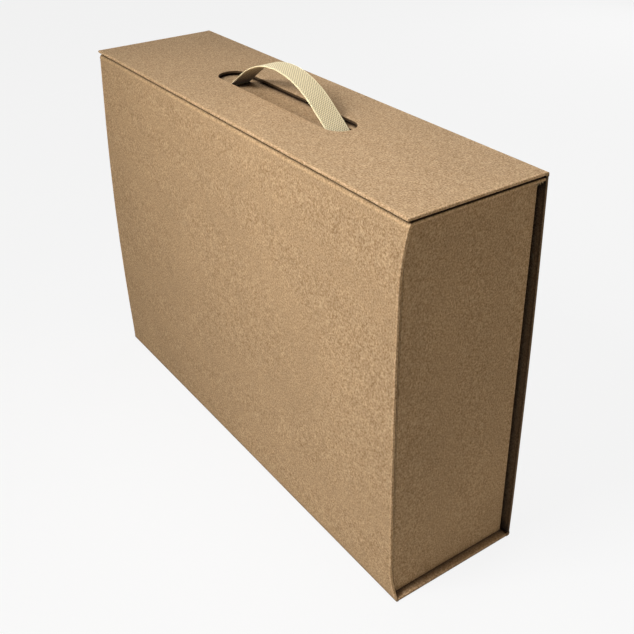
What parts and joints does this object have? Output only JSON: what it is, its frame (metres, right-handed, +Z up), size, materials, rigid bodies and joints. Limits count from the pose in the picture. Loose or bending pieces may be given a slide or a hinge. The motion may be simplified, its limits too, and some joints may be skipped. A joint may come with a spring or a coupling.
{
  "type": "magnetic gift box",
  "caption": "Upright kraft gift box: wrapped-board tray, back lid with slotted magnetic flap over the top, and a woven carry handle.",
  "frame": {"origin": "middle of the box's bounding box, on the surface it stands on", "axes": "+X along the big face, -Y out of the big front face, +Z up"},
  "size_m": [0.35, 0.093, 0.2716],
  "materials": {
    "kraft_board": "matt speckled kraft paper on greyboard",
    "kraft_paper": "matt speckled kraft paper",
    "kraft_card": "matt kraft card",
    "adhesive_tape": "thin double-sided tape",
    "magnet": "nickel-plated",
    "webbing": "cream woven cotton webbing"
  },
  "bodies": {
    "tray": {"base_panel": "kraft_board", "spine_panel": "kraft_board", "top_wall": "kraft_board", "end_wall_left": "kraft_board", "end_wall_right": "kraft_board", "base_spine_fold": "kraft_paper", "base_top_fold": "kraft_paper", "end_fold_left": "kraft_paper", "end_fold_right": "kraft_paper", "tab_left_top": "kraft_card", "tab_left_bottom": "kraft_card", "tab_right_top": "kraft_card", "tab_right_bottom": "kraft_card", "tab_tapes": "adhesive_tape", "wall_magnet_left": "magnet", "wall_magnet_right": "magnet", "webbing_handle": "webbing", "handle_patch_left": "kraft_card", "handle_patch_right": "kraft_card"},
    "lid": {"lid_panel": "kraft_board", "lid_fold": "kraft_paper"},
    "flap": {"flap_panel": "kraft_board", "flap_fold": "kraft_paper", "flap_magnet_left": "magnet", "flap_magnet_right": "magnet"}
  },
  "joints": [
    {"name": "lid_hinge", "type": "hinge", "parent": "tray", "child": "lid", "pos_m": [0, 0.04564, 0.00086], "axis": [-1, 0, 0], "range_deg": [0, 90], "deforming": ["lid_fold", "webbing_handle"]},
    {"name": "flap_hinge", "type": "hinge", "parent": "lid", "child": "flap", "pos_m": [0, 0.04564, 0.24914], "axis": [-1, 0, 0], "range_deg": [0, 90], "deforming": ["flap_fold", "webbing_handle"]}
  ]
}
